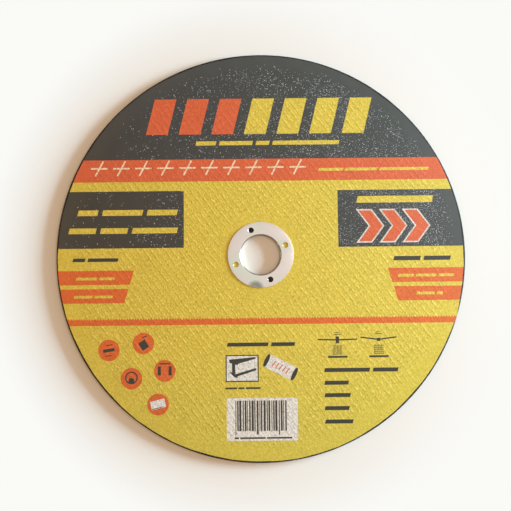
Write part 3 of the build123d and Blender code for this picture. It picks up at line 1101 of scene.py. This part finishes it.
def tube_picture():
    """Dark open ends on the white tube, and a row of red strokes along it."""
    run = (TUBE_END[0] - TUBE_START[0], TUBE_END[1] - TUBE_START[1])
    heading = math.degrees(math.atan2(run[1], run[0]))
    end = ellipse(TUBE_END_DEPTH, TUBE_WIDTH)
    shapes = [(CHARCOAL, turned(end, centre, heading)) for centre in (TUBE_START, TUBE_END)]
    stroke = slanted_bar(STROKE_LEFT, -STROKE_HEIGHT / 2, STROKE_WIDTH, STROKE_HEIGHT, lean=80)
    for step in range(STROKES):
        share = FIRST_STROKE + STROKE_STEP * step
        centre = (TUBE_START[0] + run[0] * share, TUBE_START[1] + run[1] * share)
        shapes.append((RED, turned(stroke, centre, heading)))
    return shapes


class Mounting(NamedTuple):
    """A small wheel seen edge-on: its middle, how far that sags, half its width and half its hub."""

    middle: tuple
    sag: float
    half: float
    hub: float


MOUNTINGS = [
    Mounting((42.2, -48.0), 0.0, 11.0, 1.9),
    Mounting((65.2, -47.9), 0.9, 10.1, 0.9),
]
# Level lines, from the wheel's middle: left end, foot, width and height
MOUNTING_LINES = [
    (-1.9, 2.9, 3.8, 0.4),
    (-1.3, 4.0, 2.6, 0.3),
    (-5.3, -9.9, 10.8, 1.1),
]
HUB_WIDTH = 1.9
# Half the drawn wheel's thickness at its middle, and all of it at its rim
HALF_MIDDLE = 0.4
DRAWN_RIM = 0.7
# The hatched block below the wheel: seven upright lines crossed by five level ones
BLOCK_LEFT = -2.6
UPRIGHTS = 7
UPRIGHT_PITCH = 0.82
UPRIGHT_FOOT = -8.2
UPRIGHT_SIZE = (0.22, 5.4)
LEVELS = 5
LEVEL_PITCH = 1.1
LEVEL_FOOT = -7.9
LEVEL_SIZE = (5.1, 0.2)


def mounting_picture(mounting):
    """A wheel edge-on, on its spindle above a hatched block on a base line."""
    x, y = mounting.middle
    half = mounting.half
    rim_y = y + mounting.sag
    under = [(x - half, rim_y), (x, y - HALF_MIDDLE), (x + half, rim_y)]
    over = [(x + half, rim_y + DRAWN_RIM), (x, y + HALF_MIDDLE), (x - half, rim_y + DRAWN_RIM)]
    outlines = [under + over]
    outlines.append(slanted_bar(x - HUB_WIDTH / 2, y - mounting.hub, HUB_WIDTH, 2 * mounting.hub))
    for left, foot, width, height in MOUNTING_LINES:
        outlines.append(slanted_bar(x + left, y + foot, width, height))
    for step in range(UPRIGHTS):
        left = x + BLOCK_LEFT + UPRIGHT_PITCH * step
        outlines.append(slanted_bar(left, y + UPRIGHT_FOOT, *UPRIGHT_SIZE))
    for step in range(LEVELS):
        foot = y + LEVEL_FOOT + LEVEL_PITCH * step
        outlines.append(slanted_bar(x + BLOCK_LEFT, foot, *LEVEL_SIZE))
    return [(CHARCOAL, outline) for outline in outlines]


HOLE_CIRCLE_RADIUS = 14.9
HOLE_RADIUS = 1.55
# Turn of the first hole from +X, in degrees
HOLE_ANGLE = 21.0
PIERCED_POINTS = 40


def hole_centres(count, first_angle):
    """Centres of ring holes, evenly spaced on their circle, in millimetres."""
    return turned(circle_points(HOLE_CIRCLE_RADIUS, count), (0, 0), first_angle)


def pierced_holes():
    """The two ring holes that go on through the label, so that the dark net shows in them."""
    centres = hole_centres(2, HOLE_ANGLE + 90)
    return [(OPEN, circle_points(HOLE_RADIUS, PIERCED_POINTS, centre)) for centre in centres]


def printed_shapes():
    """Each shape that lies on the CAD's fields of ink, with its ink."""
    shapes = saw_edge() + spot_marks() + code_bars() + beam_picture() + tube_picture()
    for mounting in MOUNTINGS:
        shapes += mounting_picture(mounting)
    for row in MARK_ROWS:
        shapes += [(row.ink, mark) for mark in row_marks(row)]
    shapes += pierced_holes()
    return [(ink, [(x * MM, y * MM) for x, y in points]) for ink, points in shapes]


# A face that is no further than this below a node's highest point is one of its top faces.
TOP_SLACK = 0.01 * MM


def top_faces(node):
    """Corner coordinates of a CAD node's top faces."""
    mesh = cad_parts[node].data
    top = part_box(node)[1].z - TOP_SLACK
    corners = [[tuple(mesh.vertices[i].co) for i in face.vertices] for face in mesh.polygons]
    return [[(x, y) for x, y, _ in face] for face in corners if min(z for _, _, z in face) > top]


# An edge of a field that keeps this near to the label's rim or bore is the label's own edge.
RIM_SLACK = 0.2 * MM
BORE_SLACK = 0.02 * MM


def field_edges(node):
    """The straight or curved outline edges of an ink, apart from those on the label's own rims."""
    alone = {}
    for face in top_faces(node):
        keys = [(round(x / MM, 4), round(y / MM, 4)) for x, y in face]
        for start, end in zip(keys, keys[1:] + keys[:1]):
            if alone.pop((end, start), None) is None:
                alone[(start, end)] = True
    edges = []
    for start, end in alone:
        middle = ((start[0] + end[0]) / 2, (start[1] + end[1]) / 2)
        reach = [math.hypot(*place) * MM for place in (start, middle, end)]
        on_rim = min(reach) > LABEL_RADIUS - RIM_SLACK
        on_bore = max(reach) < WHEEL_BORE_RADIUS + BORE_SLACK
        if not on_rim and not on_bore:
            edges.append(((start[0] * MM, start[1] * MM), (end[0] * MM, end[1] * MM)))
    return edges


# How far above the highest shape the inks are looked at from, and how far inside the label's
# rim and bore
LOOK_FROM = 10.0
LOOK_INSIDE = 0.1 * MM


class InkStack:
    """Says which ink is on top at a place, from the CAD's fields and the shapes on them."""

    def __init__(self, shapes):
        points = []
        faces = []
        self.inks = []
        layers = [(ink, face) for ink, node in INK_NODES.items() for face in top_faces(node)]
        for number, (ink, outline) in enumerate(layers + shapes):
            height = max(0, number - len(layers) + 1)
            faces.append(range(len(points), len(points) + len(outline)))
            points.extend((x / MM, y / MM, height) for x, y in outline)
            self.inks.append(ink)
        self.above = len(shapes) + LOOK_FROM
        self.tree = BVHTree.FromPolygons(points, [tuple(face) for face in faces])

    def at(self, places):
        """The ink at each place, with places at the rim read just inside it."""
        found = np.empty(len(places), dtype=int)
        reach = np.hypot(places[:, 0], places[:, 1])
        inward = np.minimum(1.0, (LABEL_RADIUS - LOOK_INSIDE) / reach)
        outward = np.maximum(inward, (WHEEL_BORE_RADIUS + LOOK_INSIDE) / reach)
        down = Vector((0, 0, -1))
        for k, (x, y) in enumerate(places * outward[:, None] / MM):
            index = self.tree.ray_cast((x, y, self.above), down)[2]
            found[k] = PAPER if index is None else self.inks[index]
        return found


# Longest edge along a printed outline
LONGEST_EDGE = 0.8 * MM
# How far from the label's worn edge a field's outline ends
FIELD_ROOM = 0.05 * MM
# Points of a circle on the flat margin, which keeps the triangles there from getting long
MARGIN_POINTS = 450


class PrintPlan:
    """The label as one flat map of triangles, each of one ink or bare."""

    def __init__(self, net):
        self.net = net
        shapes = printed_shapes()
        self.stack = InkStack(shapes)
        samples = ((net.samples_across, net.samples_along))
        wires = Wires(lattice_points(net, net.hub_radius, relief_end(net), *samples))
        loops = [outline for _, outline in shapes] + [label_edge(), bore_circle()]
        loops.append(circle_points(0.5 * (LABEL_RADIUS + relief_end(net)), MARGIN_POINTS))
        for loop in loops:
            wires.loop(cut_long_edges(loop, LONGEST_EDGE))
        for node in INK_NODES.values():
            for start, end in field_edges(node):
                steps = max(1, math.ceil(math.dist(start, end) / LONGEST_EDGE))
                share = np.linspace(0, 1, steps + 1)[:, None]
                line = np.array(start) + (np.array(end) - np.array(start)) * share
                turns = np.arctan2(line[:, 1], line[:, 0])
                inside = np.hypot(line[:, 0], line[:, 1]) < label_reach(turns) - FIELD_ROOM
                wires.line([tuple(p) for p in line[inside].tolist()])
        self.points, triangles, _ = triangulate(wires.points, wires.edges)
        self.triangles = triangles[outside_bore(self.points, triangles)]
        self.inks = self.stack.at(self.points[self.triangles].mean(axis=1))


# Part of the relief that lies below the label's face
SINK_SHARE = 0.4


def relief_heights(points, net):
    """How far the label is lifted or sunk by the yarns below it."""
    x, y = points.T
    share = relief_share(np.hypot(x, y), net)
    return (pressed_height(x, y, net) - SINK_SHARE) * net.label_relief * share


# Where the undersides of the print meet the sheet: low enough for the grooves not to reach it
PRINT_FOOT = PAPER_FACE - 0.06 * MM
# How far the ink stands above the bare paper
INK_RISE = 0.01 * MM
# The charcoal is the thickest ink, and fills the grooves in part.
CHARCOAL_RELIEF = 0.3


def make_print(plan, ink, name, node, material, face=PRINT_FACE, relief=1.0):
    """A closed thin piece of one ink: its relief on top, walls, and a flat underside."""
    used, triangles = np.unique(plan.triangles[plan.inks == ink], return_inverse=True)
    triangles = triangles.reshape(-1, 3)
    flat = plan.points[used]
    heights = face + relief_heights(flat, plan.net) * relief
    points = [(x, y, z) for (x, y), z in zip(flat.tolist(), heights.tolist())]
    faces = [tuple(t) for t in triangles.tolist()]
    walls = open_edges(triangles)
    rim = np.unique(walls).tolist()
    place = {number: k for k, number in enumerate(rim)}
    below = {number: len(points) + k for k, number in enumerate(rim)}
    points += [(*flat[k].tolist(), PRINT_FOOT) for k in rim]
    faces += [(a, below[a], below[b], b) for a, b in walls.tolist()]
    edges = [(place[a], place[b]) for a, b in walls.tolist()]
    found, under, sources = triangulate([tuple(flat[k]) for k in rim], edges)
    of_ink = plan.stack.at(found[under].mean(axis=1)) == ink
    for triangle in under[of_ink & outside_bore(found, under)]:
        corners = [below[rim[sources[k]]] for k in triangle]
        faces.append(tuple(corners[::-1]))
    return make_piece(name, points, faces, material, [node])


def make_sheet(material):
    """The label's paper under the print, with its bore and its two pierced holes."""
    sheet = Shell()
    low_rim = sheet.loop(label_edge(), ABRASIVE_FACE)
    high_rim = sheet.loop(label_edge(), PRINT_FOOT)
    low_bore = sheet.loop(bore_circle(), ABRASIVE_FACE)
    high_bore = sheet.loop(bore_circle(), PRINT_FOOT)
    sheet.bridge(low_rim, high_rim)
    sheet.bridge(high_bore, low_bore)
    low_holes = []
    high_holes = []
    for _, outline in pierced_holes():
        points = [(x * MM, y * MM) for x, y in outline]
        low_holes.append(sheet.loop(points, ABRASIVE_FACE))
        high_holes.append(sheet.loop(points, PRINT_FOOT))
        sheet.bridge(high_holes[-1], low_holes[-1])
    sheet.plate(high_rim, [high_bore] + high_holes)
    sheet.plate(low_rim, [low_bore] + low_holes, upward=False)
    make_piece("label_sheet", sheet.points, sheet.faces, material, ["paper_label"])


class WHEEL_OT_label(bpy.types.Operator):
    """Lays the paper label and its inks over the net"""

    bl_idname = "wheel.label"
    bl_label = "Label and print"

    def execute(self, context):
        settings = context.scene.wheel
        net = settings.net
        colours = settings.label_print
        plan = PrintPlan(net)
        materials = {
            YELLOW: flexo_ink_material("yellow_flexo_ink", colours.yellow, net, 1.0),
            RED: flexo_ink_material("red_flexo_ink", colours.red, net, 0.6),
            ORANGE: flexo_ink_material("orange_flexo_ink", colours.orange, net, 0.6),
            CHARCOAL: speckled_charcoal_material("charcoal_flexo_ink", colours),
        }
        for ink, node in INK_NODES.items():
            name = node.replace("_ink", "_print")
            relief = CHARCOAL_RELIEF if ink == CHARCOAL else 1.0
            make_print(plan, ink, name, node, materials[ink], relief=relief)
        paper = pressed_paper_material("pressed_label_paper", colours.paper, colours.tinted_paper, net)
        face = PRINT_FACE - INK_RISE
        make_print(plan, PAPER, "bare_paper", "paper_label", paper, face)
        make_sheet(paper)
        return {"FINISHED"}


# Abrasive

# Points round the disc, steps across the bare margin at its back, and levels up its rim
AROUND_ABRASIVE = 1440
MARGIN_STEPS = 12
RIM_LEVELS = (0.35 * MM, 0.8 * MM, 1.25 * MM, 1.6 * MM)
# How much of the roughness is left where the rim meets the back
RIM_FOOT_SHARE = 0.6
# Heights that differ by less than this belong to one face, and radii by less than this to the rim.
SAME_FACE = 0.1 * MM
SAME_RIM = 0.01 * MM
# How far the rough margin at the front goes in under the label
UNDER_LABEL = 0.2 * MM
GRAIN_SEED = 11


def abrasive_section():
    """Radius, height and share of roughness round the disc's section, the back face first."""
    section = [(WHEEL_BORE_RADIUS, NET_DEPTH, 0.0), (NET_RADIUS, NET_DEPTH, 0.0)]
    for step in range(MARGIN_STEPS + 1):
        share = step / MARGIN_STEPS
        section.append((NET_RADIUS + (WHEEL_RADIUS - NET_RADIUS) * share, 0.0, 1.0))
    for height in RIM_LEVELS + (ABRASIVE_FACE,):
        section.append((WHEEL_RADIUS, height, 1.0))
    section.append((LABEL_RADIUS - UNDER_LABEL, ABRASIVE_FACE, 0.0))
    section.append((NET_RADIUS, ABRASIVE_FACE, 0.0))
    section.append((NET_RADIUS, ABRASIVE_FACE - NET_DEPTH, 0.0))
    section.append((WHEEL_BORE_RADIUS, ABRASIVE_FACE - NET_DEPTH, 0.0))
    return section


def gritty_loop(radius, height, depth, random):
    """Points round the disc, each moved into it at random, at the rim and at its bare faces."""
    dents = random.random(AROUND_ABRASIVE) * depth
    lifts = random.random(AROUND_ABRASIVE) * depth
    on_rim = radius > WHEEL_RADIUS - SAME_RIM
    reach = radius - dents * on_rim
    heights = np.full(AROUND_ABRASIVE, height)
    if height < SAME_FACE:
        heights = lifts * (RIM_FOOT_SHARE if on_rim else 1.0)
    if height > ABRASIVE_FACE - SAME_FACE:
        heights = height - lifts
    places = np.array(circle_points(1.0, AROUND_ABRASIVE)) * reach[:, None]
    return [(x, y, z) for (x, y), z in zip(places.tolist(), heights.tolist())]


class WHEEL_OT_abrasive(bpy.types.Operator):
    """Moulds the abrasive disc with its gritty rim"""

    bl_idname = "wheel.abrasive"
    bl_label = "Abrasive disc"

    def execute(self, context):
        settings = context.scene.wheel.abrasive
        random = np.random.default_rng(GRAIN_SEED)
        shell = Shell()
        loops = []
        for radius, height, rough in abrasive_section():
            depth = settings.roughness_depth * rough
            loops.append(shell.add(gritty_loop(radius, height, depth, random)))
        for lower, upper in zip(loops, loops[1:] + loops[:1]):
            shell.bridge(lower, upper)
        grit = bonded_abrasive_material("moulded_resin_abrasive", settings)
        make_piece("moulded_abrasive", shell.points, shell.faces, grit, ["abrasive_disc"])
        return {"FINISHED"}


# Nets

# Points round the back net's edge, mesh points to one warp and one weft pitch, and how far the
# mesh points keep from the net's edges
NET_EDGE_POINTS = 720
BACK_SAMPLES = (6, 4)
EDGE_ROOM = 0.3 * MM
# Width over which the back net's relief dies out at its edge
BACK_FADE = 2.0 * MM


def follow_loops(edges):
    """The closed loops that directed edges make, the longest first."""
    following = {start: end for start, end in edges.tolist()}
    loops = []
    while following:
        start, place = following.popitem()
        loop = [start]
        while place != start:
            loop.append(place)
            place = following.pop(place)
        loops.append(loop)
    return sorted(loops, key=len, reverse=True)


def make_back_cloth(net, material):
    """The net at the back: woven on its outer side and flat where it meets the abrasive."""
    samples = BACK_SAMPLES
    wires = Wires(lattice_points(net, WHEEL_BORE_RADIUS + EDGE_ROOM, NET_RADIUS - EDGE_ROOM, *samples))
    wires.loop(circle_points(NET_RADIUS, NET_EDGE_POINTS))
    wires.loop(bore_circle())
    found, triangles, _ = triangulate(wires.points, wires.edges)
    triangles = triangles[outside_bore(found, triangles)]
    edge = np.clip((NET_RADIUS - np.hypot(found[:, 0], found[:, 1])) / BACK_FADE, 0, 1)
    depth = net.back_relief * (1 - cloth_height(found[:, 0], found[:, 1], net) * edge)
    # The back net lies turned over, so its Y runs the other way
    shell = Shell()
    shell.points = [(x, -y, z) for (x, y), z in zip(found.tolist(), depth.tolist())]
    shell.faces = [tuple(t) for t in triangles.tolist()]
    inner_face = []
    for loop in follow_loops(open_edges(triangles)):
        upper = shell.loop([shell.points[k][:2] for k in loop], NET_DEPTH)
        inner_face.append(upper)
        shell.bridge(upper, loop)
    shell.plate(inner_face[0][::-1], [inner_face[1]])
    make_piece("back_cloth", shell.points, shell.faces, material, ["back_net"])


class WHEEL_OT_nets(bpy.types.Operator):
    """Weaves the glass net of the back face and finishes the one under the label"""

    bl_idname = "wheel.nets"
    bl_label = "Glass-fibre nets"

    def execute(self, context):
        settings = context.scene.wheel
        net = settings.net
        cloth = glass_cloth_material("resin_soaked_glass_cloth", settings.abrasive, net.back_relief)
        make_back_cloth(net, cloth)
        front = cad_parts["front_net"]
        resin = bonded_abrasive_material("resin_over_front_cloth", settings.abrasive)
        front.material_slots[0].material = resin
        return {"FINISHED"}


# Ring

# Points round the ring, round one of its holes, and along its lip and its smaller bends
AROUND_RING = 256
AROUND_HOLE = 48
LIP_POINTS = 10
BEND_POINTS = 4
# Rounding of a hole's mouth
HOLE_ROUND = 0.06 * MM


def arc(centre, radius, start, end, count):
    """Points of an arc in the ring's section, between two angles in degrees."""
    angles = np.radians(np.linspace(start, end, count)).tolist()
    return [(centre[0] + radius * math.cos(a), centre[1] + radius * math.sin(a)) for a in angles]


def collar_section(settings):
    """Radius and height from the lip down the bore, and up behind the collar to the bend."""
    lip = settings.lip_radius
    bend = settings.bend_radius
    round_foot = 0.5 * settings.edge_round
    back = BOSS_BORE_RADIUS + RING_SHEET
    return [
        *arc((BOSS_BORE_RADIUS + lip, RING_TOP - lip), lip, 90, 180, LIP_POINTS),
        (BOSS_BORE_RADIUS, RING_FOOT + round_foot),
        (BOSS_BORE_RADIUS + round_foot, RING_FOOT),
        (back, RING_FOOT),
        *arc((back + bend, PRINT_FACE - bend), bend, 180, 90, BEND_POINTS),
    ]


def flange_section(settings):
    """Radius and height up the flange's edge, which is rounded at its top."""
    edge = settings.edge_round
    return [
        (RING_RADIUS - 0.5 * edge, PRINT_FACE),
        (RING_RADIUS, PRINT_FACE + 0.5 * edge),
        *arc((RING_RADIUS - edge, RING_TOP - edge), edge, 0, 90, BEND_POINTS),
    ]


class WHEEL_OT_ring(bpy.types.Operator):
    """Stamps the tinned ring: flange, four holes, bend and collar"""

    bl_idname = "wheel.ring"
    bl_label = "Arbor ring"

    def execute(self, context):
        settings = context.scene.wheel.ring
        shell = Shell()
        collar = []
        for radius, height in collar_section(settings):
            collar.append(shell.loop(circle_points(radius, AROUND_RING), height))
        flange = []
        for radius, height in flange_section(settings):
            flange.append(shell.loop(circle_points(radius, AROUND_RING), height))
        for loops in (collar, flange):
            for first, second in zip(loops, loops[1:]):
                shell.bridge(first, second)
        mouths = []
        feet = []
        hole_radius = HOLE_RADIUS * MM
        for x, y in hole_centres(4, HOLE_ANGLE):
            centre = (x * MM, y * MM)
            mouth = shell.loop(circle_points(hole_radius + HOLE_ROUND, AROUND_HOLE, centre), RING_TOP)
            throat = shell.loop(circle_points(hole_radius, AROUND_HOLE, centre), RING_TOP - HOLE_ROUND)
            foot = shell.loop(circle_points(hole_radius, AROUND_HOLE, centre), PRINT_FACE)
            shell.bridge(mouth, throat)
            shell.bridge(throat, foot)
            mouths.append(mouth)
            feet.append(foot)
        shell.plate(flange[-1], [collar[0]] + mouths)
        shell.plate(flange[0], [collar[-1]] + feet, upward=False)
        tin = tinned_sheet_material("tinned_steel_sheet", settings)
        make_piece("stamped_ring", shell.points, shell.faces, tin, ["arbor_ring"], crease=30.0)
        return {"FINISHED"}


# Stage

FLOOR_SIDE = 8.0
# Place of each lamp, and length and width of its face
WINDOW_PLACE = (1.54, 0.34, 0.24)
WINDOW_SIZE = (0.8, 0.27)
SKY_PLACE = (0.62, 0.2, 1.0)
SKY_SIZE = (0.4, 0.4)
PICTURE_SIDE = 511
FOCAL_PIXELS = 524.0
CENTRE_PIXEL = (260.78, 254.77)


def add_lamp(name, place, size, power, colour):
    """A rectangular soft lamp that looks at the middle of the wheel."""
    data = bpy.data.lights.new(name, "AREA")
    data.shape = "RECTANGLE"
    data.size, data.size_y = size
    data.energy = power
    data.color = colour
    lamp = bpy.data.objects.new(name, data)
    lamp.location = place
    lamp.rotation_euler = (-Vector(place)).to_track_quat("-Z", "Y").to_euler()
    bpy.context.scene.collection.objects.link(lamp)


def soft_room(settings):
    """Even light from all round, with darker walls and a pale ceiling for gloss to mirror."""
    world = bpy.data.worlds.new("soft_room")
    world.use_nodes = True
    tree = world.node_tree
    tree.nodes.clear()
    room = add_node(tree, BACKGROUND, 0, {"Color": settings.room, "Strength": 1.0})
    pale = add_node(tree, BACKGROUND, 0, {"Color": settings.backdrop, "Strength": 1.0})
    upward = add_node(tree, SPLIT, "Z", {"Vector": add_node(tree, COORDINATES, "Generated")})
    high = add_node(tree, RANGE, 0, {"Value": upward, "From Min": 0.4, "From Max": 0.96})
    walls = add_node(tree, MIX, 2, {0: high, 6: settings.walls, 7: settings.ceiling}, data_type="RGBA")
    mirror = add_node(tree, BACKGROUND, 0, {"Color": walls, "Strength": 1.0})
    seen = add_node(tree, LIGHT_PATH, "Is Camera Ray")
    mirrored = add_node(tree, LIGHT_PATH, "Is Glossy Ray")
    mixed = add_node(tree, MIX_SHADERS, 0, {0: mirrored, 1: room, 2: mirror})
    mixed = add_node(tree, MIX_SHADERS, 0, {0: seen, 1: mixed, 2: pale})
    add_node(tree, "ShaderNodeOutputWorld", inputs={"Surface": mixed})
    return world


# Width of a full-frame sensor in millimetres
SENSOR_WIDTH = 36.0


def overhead_camera(settings):
    """The camera, which looks down at the middle of the label and leans and rolls a little."""
    data = bpy.data.cameras.new("camera")
    data.sensor_width = SENSOR_WIDTH
    data.lens = data.sensor_width * FOCAL_PIXELS / PICTURE_SIDE
    data.shift_x = (PICTURE_SIDE / 2 - CENTRE_PIXEL[0]) / PICTURE_SIDE
    data.shift_y = (CENTRE_PIXEL[1] - PICTURE_SIDE / 2) / PICTURE_SIDE
    data.clip_start = 0.01
    back = Vector((0, -math.sin(settings.camera_tilt), math.cos(settings.camera_tilt)))
    level_right = Vector((0, 1, 0)).cross(back).normalized()
    level_up = back.cross(level_right)
    cosine = math.cos(settings.camera_roll)
    sine = math.sin(settings.camera_roll)
    right = level_right * cosine + level_up * sine
    up = level_up * cosine - level_right * sine
    place = Vector((0, 0, PRINT_FACE)) + back * settings.camera_distance
    camera = bpy.data.objects.new("camera", data)
    camera.matrix_world = Matrix((
        (right.x, up.x, back.x, place.x),
        (right.y, up.y, back.y, place.y),
        (right.z, up.z, back.z, place.z),
        (0, 0, 0, 1),
    ))
    return camera


class WHEEL_OT_stage(bpy.types.Operator):
    """Sets the white floor, the soft lamps and the camera"""

    bl_idname = "wheel.stage"
    bl_label = "Stage"

    def execute(self, context):
        settings = context.scene.wheel.stage
        scene = context.scene
        scene.view_settings.view_transform = "Standard"
        mesh = bpy.data.meshes.new("floor")
        corners = [(x, y, 0.0) for x, y in centred_box(FLOOR_SIDE, FLOOR_SIDE)]
        mesh.from_pydata(corners, [], [(0, 1, 2, 3)])
        mesh.materials.append(white_board_material("smooth_white_board", settings.floor, settings.backdrop))
        floor = bpy.data.objects.new("floor", mesh)
        scene.collection.objects.link(floor)
        scene.world = soft_room(settings)
        add_lamp("window", WINDOW_PLACE, WINDOW_SIZE, settings.key_power, settings.key)
        add_lamp("sky", SKY_PLACE, SKY_SIZE, settings.sky_power, settings.sky)
        camera = overhead_camera(settings)
        scene.collection.objects.link(camera)
        scene.camera = camera
        return {"FINISHED"}


# Panel


class WHEEL_PT_panel(bpy.types.Panel):
    """The wheel's settings and its operators"""

    bl_label = "Cut-off wheel"
    bl_idname = "WHEEL_PT_panel"
    bl_space_type = "VIEW_3D"
    bl_region_type = "UI"
    bl_category = "Wheel"

    def draw(self, context):
        settings = context.scene.wheel
        for group in (settings.net, settings.label_print, settings.abrasive, settings.ring, settings.stage):
            box = self.layout.box()
            for name in type(group).__annotations__:
                box.prop(group, name)
        for operator in OPERATORS:
            self.layout.operator(operator.bl_idname)


OPERATORS = (WHEEL_OT_abrasive, WHEEL_OT_nets, WHEEL_OT_label, WHEEL_OT_ring, WHEEL_OT_stage)
SETTINGS = (NetSettings, PrintSettings, AbrasiveSettings, RingSettings, StageSettings, WheelSettings)


def register():
    for made in SETTINGS + OPERATORS + (WHEEL_PT_panel,):
        bpy.utils.register_class(made)
    bpy.types.Scene.wheel = PointerProperty(type=WheelSettings)


def unregister():
    del bpy.types.Scene.wheel
    for made in reversed(SETTINGS + OPERATORS + (WHEEL_PT_panel,)):
        bpy.utils.unregister_class(made)


def main():
    register()
    bpy.ops.wheel.abrasive()
    bpy.ops.wheel.nets()
    bpy.ops.wheel.label()
    bpy.ops.wheel.ring()
    bpy.ops.wheel.stage()


if __name__ == "__main__":
    main()
